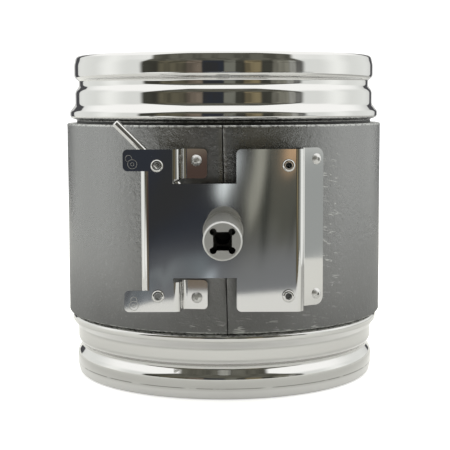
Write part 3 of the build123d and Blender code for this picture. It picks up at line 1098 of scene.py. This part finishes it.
@dataclass
class Studio:
    """White table and tent, open towards the camera, where a dim room shows in the steel."""

    strength: float = 1.34
    lamp_place: Place = (0.0, 0.2, 1.6)
    lamp_aim: Place = (0.0, 0.0, 0.08)
    lamp_size: float = 2.6
    lamp_power: float = 12.0
    table_front: float = -0.443
    table_back: float = 1.0
    table_half: float = 0.5
    table_drop: float = 0.0002
    table_rough: float = 0.9
    table_glow: float = 0.6
    table_colour: Colour = (0.755, 0.755, 0.724)
    table_far: Colour = (0.79, 0.79, 0.775)
    table_lit: float = -0.20
    table_edge: Colour = (0.26, 0.27, 0.28)
    # Painted shade on the far right of the table
    table_fade: float = 0.022
    table_right_shade: Colour = (0.42, 0.42, 0.405)
    right_from: float = 0.16
    right_to: float = 0.36
    right_fade: float = 0.1
    foot_from: float = 0.084
    foot_to: float = 0.105
    foot_glow: float = 0.45
    tent: Colour = (0.795, 0.808, 0.785)
    tent_from: float = 61.0
    tent_soft: float = 6.0
    tent_bright: Colour = (0.985, 0.998, 0.972)
    bright_turn: float = 95.0
    bright_half: float = 20.0
    behind: Colour = (0.52, 0.52, 0.51)
    behind_from: float = 134.0
    behind_to: float = 164.0
    overhead: Colour = (1.08, 1.08, 1.065)
    overhead_from: float = 16.0
    overhead_to: float = 36.0
    room: Colour = (0.055, 0.055, 0.045)
    ceiling: Colour = (0.13, 0.128, 0.105)
    ceiling_from: float = 16.0
    ceiling_soft: float = 6.0
    opening_left: float = 63.5
    opening_right: float = 62.0
    opening_soft: float = 2.4
    taper_from: float = 12.0
    taper: float = 0.45
    clutter: Spots = Spots(1.0, 0.42, 0.62, 0.55)
    clutter_turn: float = 11.0
    clutter_rise: float = 7.0
    clutter_colour: Colour = (0.035, 0.033, 0.027)
    near_floor: Colour = (0.20, 0.207, 0.217)
    near_floor_from: float = -9.5
    near_floor_to: float = -5.0
    near_floor_half: float = 8.0
    gap_from: float = 20.0
    gap_to: float = 30.0
    gaps: tuple[Panel, ...] = (
        Panel(-159.0, -146.0, (0.07, 0.07, 0.075), 1.0),
        Panel(152.0, 162.0, (0.07, 0.07, 0.075), 1.0),
    )
    panels: tuple[Panel, ...] = (
        Panel(-49.0, -27.0, (0.125, 0.115, 0.08), 2.5),
        Panel(-27.0, -15.0, (0.20, 0.165, 0.13)),
        Panel(-15.0, 0.4, (0.030, 0.034, 0.044), 1.0),
        Panel(0.7, 9.0, (0.175, 0.177, 0.150), 0.7),
        Panel(16.0, 28.0, (0.235, 0.195, 0.115)),
        Panel(37.0, 50.0, (0.24, 0.235, 0.195)),
        Panel(50.0, 56.0, (0.36, 0.36, 0.33)),
        Panel(56.0, 66.0, (0.20, 0.20, 0.19)),
    )
    patches: tuple[Patch, ...] = (
        Patch(1.50, -4.6, 0.34, 4.2, (0.030, 0.033, 0.029), -0.15, 0.4),
        Patch(0.75, -3.0, 0.50, 4.0, (0.36, 0.36, 0.31), 0.0, 0.3),
        Patch(2.75, -5.4, 0.60, 2.4, (0.090, 0.091, 0.077), 0.0, 0.3),
        Patch(2.55, -2.3, 0.72, 1.7, (0.58, 0.39, 0.23), 0.0, 0.4),
        Patch(3.30, -6.0, 0.25, 2.6, (0.05, 0.05, 0.045)),
        Patch(-21.0, -3.8, 9.0, 2.6, (0.070, 0.046, 0.038), 0.0, 0.6),
        Patch(-0.45, -3.3, 0.45, 1.6, (0.98, 1.05, 1.07), 0.0, 0.15),
        Patch(-1.40, -7.2, 0.75, 0.9, (0.17, 0.195, 0.21), 0.0, 0.1),
        Patch(-0.75, -7.9, 0.75, 0.75, (0.44, 0.49, 0.53), 0.0, 0.05),
        Patch(-3.5, -7.2, 0.40, 1.0, (0.24, 0.25, 0.25), 0.3),
        Patch(-2.4, -7.5, 0.40, 0.9, (0.21, 0.23, 0.24), 0.5),
        Patch(65.0, -5.5, 9.0, 4.2, (0.355, 0.372, 0.365), 0.0, 0.5),
        Patch(-50.0, -10.0, 22.0, 8.0, (1.05, 1.05, 1.02), 0.0, 0.5),
    )

    def build(self) -> None:
        """Makes the table, the world and the lamp."""
        self.table()
        self.world()
        self.lamp()

    def table_top(self) -> bpy.types.Material:
        """White surface, grey along its front edge and with painted shade on its far right.

        It glows to the camera, and a little to the steel just above it.

        Returns:
            The material.
        """
        material = bpy.data.materials.new("table")
        material.use_nodes = True
        graph = Graph(material.node_tree)
        x, y, _ = graph.axes(graph.place())
        white = graph.mix(y.rise(self.table_front, self.table_lit), self.table_far, self.table_colour)
        inner = y.rise(self.table_front, self.table_front + self.table_fade)
        white = graph.mix(inner, self.table_edge, white)
        # Painted shade on the table's far right, where the light falls off
        right = x.rise(self.right_from, self.right_to)
        right = right * y.rise(self.table_lit, self.table_lit + self.right_fade)
        white = graph.mix(right, white, self.table_right_shade)
        path = graph.node("ShaderNodeLightPath").outputs
        camera, glossy = Value(graph, path["Is Camera Ray"]), Value(graph, path["Is Glossy Ray"])
        foot = 1.0 - x.length(y).rise(self.foot_from, self.foot_to)
        glow = graph.mix(camera + glossy * foot * self.foot_glow, (0.0, 0.0, 0.0), (1.0, 1.0, 1.0))
        shader = graph.node("ShaderNodeBsdfPrincipled", None, {
            "Base Color": white,
            "Roughness": self.table_rough,
            "Specular IOR Level": 0.0,
            "Emission Color": glow,
            "Emission Strength": self.table_glow,
        })
        graph.node("ShaderNodeOutputMaterial", None, {"Surface": shader.outputs[0]})
        return material

    def table(self) -> None:
        """Adds the table top, whose front edge shows in the polished plate."""
        half, front, back = self.table_half, self.table_front, self.table_back
        corners = [(-half, front), (half, front), (half, back), (-half, back)]
        mesh = bpy.data.meshes.new("table")
        mesh.from_pydata([(x, y, -self.table_drop) for x, y in corners], [], [(0, 1, 2, 3)])
        mesh.materials.append(self.table_top())
        table = bpy.data.objects.new("table", mesh)
        bpy.context.scene.collection.objects.link(table)

    def room_view(self, graph: Graph, turn: Value, rise: Value) -> Value:
        """The dim room: upright stripes, a ceiling, clutter and the floor nearby.

        Args:
            graph: The world's tree.
            turn: Angle round the upright axis.
            rise: Angle above the horizon.

        Returns:
            Its colour.
        """
        seen = self.room
        for panel in self.panels:
            seen = graph.mix(panel.mask(turn), seen, panel.colour)
        ceiling = rise.rise(self.ceiling_from - self.ceiling_soft, self.ceiling_from + self.ceiling_soft)
        seen = graph.mix(ceiling, seen, self.ceiling)
        spread = graph.vector(turn / self.clutter_turn, rise / self.clutter_rise, 0.0)
        seen = graph.mix(self.clutter.mask(graph, spread), seen, self.clutter_colour)
        near = 1.0 - rise.rise(self.near_floor_from, self.near_floor_to)
        near = near * (1.0 - abs(turn).rise(self.near_floor_half, 2 * self.near_floor_half))
        return graph.mix(near, seen, self.near_floor)

    def tent_view(self, graph: Graph, turn: Value, rise: Value) -> Value:
        """The tent: brightest at both sides and overhead, grey behind.

        Args:
            graph: The world's tree.
            turn: Angle round the upright axis.
            rise: Angle above the horizon.

        Returns:
            Its colour.
        """
        bright = 1.0 - abs(abs(turn) - self.bright_turn).rise(0.0, self.bright_half)
        tent = graph.mix(bright, self.tent, self.tent_bright)
        tent = graph.mix(abs(turn).rise(self.behind_from, self.behind_to), tent, self.behind)
        return graph.mix(rise.rise(self.overhead_from, self.overhead_to), tent, self.overhead)

    def opening(self, turn: Value, rise: Value) -> Value:
        """The tent's opening, which narrows upwards.

        Args:
            turn: Angle round the upright axis.
            rise: Angle above the horizon.

        Returns:
            1 in the opening and 0 on the tent.
        """
        narrow = (rise - self.taper_from).most(0.0) * self.taper
        left = (turn + self.opening_left - narrow).rise(-self.opening_soft, self.opening_soft)
        right = (self.opening_right - narrow - turn).rise(-self.opening_soft, self.opening_soft)
        top = rise.rise(self.tent_from - self.tent_soft, self.tent_from + self.tent_soft)
        return left * right * (1.0 - top)

    def world(self) -> None:
        """Surrounds the damper with the tent and the room, for all rays but the camera's own."""
        world = bpy.data.worlds.new("tent")
        bpy.context.scene.world = world
        world.use_nodes = True
        graph = Graph(world.node_tree)
        x, y, z = graph.axes(graph.node("ShaderNodeTexCoord").outputs["Generated"])
        turn = x.maths("ARCTAN2", -y) * DEGREES
        rise = z.maths("ARCSINE") * DEGREES
        tent, room = self.tent_view(graph, turn, rise), self.room_view(graph, turn, rise)
        seen = graph.mix(self.opening(turn, rise), tent, room)
        for patch in self.patches:
            seen = graph.mix(patch.mask(turn, rise), seen, patch.colour)
        for gap in self.gaps:
            seen = graph.mix(gap.mask(turn) * (1.0 - rise.rise(self.gap_from, self.gap_to)), seen, gap.colour)
        camera = graph.node("ShaderNodeLightPath").outputs["Is Camera Ray"]
        light = graph.mix(camera, seen, (1.0, 1.0, 1.0))
        background = graph.node("ShaderNodeBackground", None, {"Color": light, "Strength": self.strength})
        graph.node("ShaderNodeOutputWorld", None, {"Surface": background.outputs[0]})

    def lamp(self) -> None:
        """Adds a soft lamp above the damper that doesn't show in the steel."""
        data = bpy.data.lights.new("top_softbox", "AREA")
        data.size, data.energy = self.lamp_size, self.lamp_power
        lamp = bpy.data.objects.new("top_softbox", data)
        lamp.location = self.lamp_place
        aim = Vector(self.lamp_aim) - Vector(self.lamp_place)
        lamp.rotation_euler = aim.to_track_quat("-Z", "Y").to_euler()
        lamp.visible_glossy = False
        bpy.context.scene.collection.objects.link(lamp)


@dataclass
class Camera:
    """The photo's view, found from the rims of the duct."""

    place: Place = (0.003, -0.6362, 0.1417)
    pitch: float = 5.915
    roll: float = -0.18
    yaw: float = 0.22
    lens: float = 96.0
    sensor: float = 36.0

    def build(self) -> None:
        """Adds the camera."""
        data = bpy.data.cameras.new("camera")
        data.lens, data.sensor_width = self.lens, self.sensor
        camera = bpy.data.objects.new("camera", data)
        turn = Matrix.Rotation(math.radians(self.yaw), 4, "Z")
        turn = turn @ Matrix.Rotation(math.radians(90 - self.pitch), 4, "X")
        turn = turn @ Matrix.Rotation(math.radians(self.roll), 4, "Z")
        camera.matrix_world = Matrix.Translation(self.place) @ turn
        bpy.context.scene.collection.objects.link(camera)
        bpy.context.scene.camera = camera
        bpy.context.scene.view_settings.view_transform = "Standard"


def main() -> None:
    """Builds the looks in order and reports each piece."""
    logging.basicConfig(level=logging.INFO, format="%(name)s: %(message)s")
    finishes = {
        Look.ROLLED: RolledSteel().material(),
        Look.SHEET: SheetSteel().material(),
        Look.PLAIN: Finish(roughness=0.10).material(),
        Look.RIVET: Finish(colour=(0.68, 0.675, 0.665), roughness=0.42).material(),
        Look.TURNED: TurnedSteel().material(),
        Look.FOAM: FoamRubber().material(),
        Look.PLASTIC: Moulding("bearing_plastic", (0.50, 0.49, 0.45), roughness=0.4).material(),
        Look.RUBBER: Moulding("seal_rubber", (0.02, 0.02, 0.02), roughness=0.5).material(),
    }
    for kind in (DuctShell, FoamSleeve, Bracket, ShaftGroup, VaneGroup):
        group = kind(finishes)
        for piece in (*group.dress(), *group.build()):
            LOG.info("%s: %s", kind.__name__, piece.name)
    Studio().build()
    Camera().build()


if __name__ == "__main__":
    main()
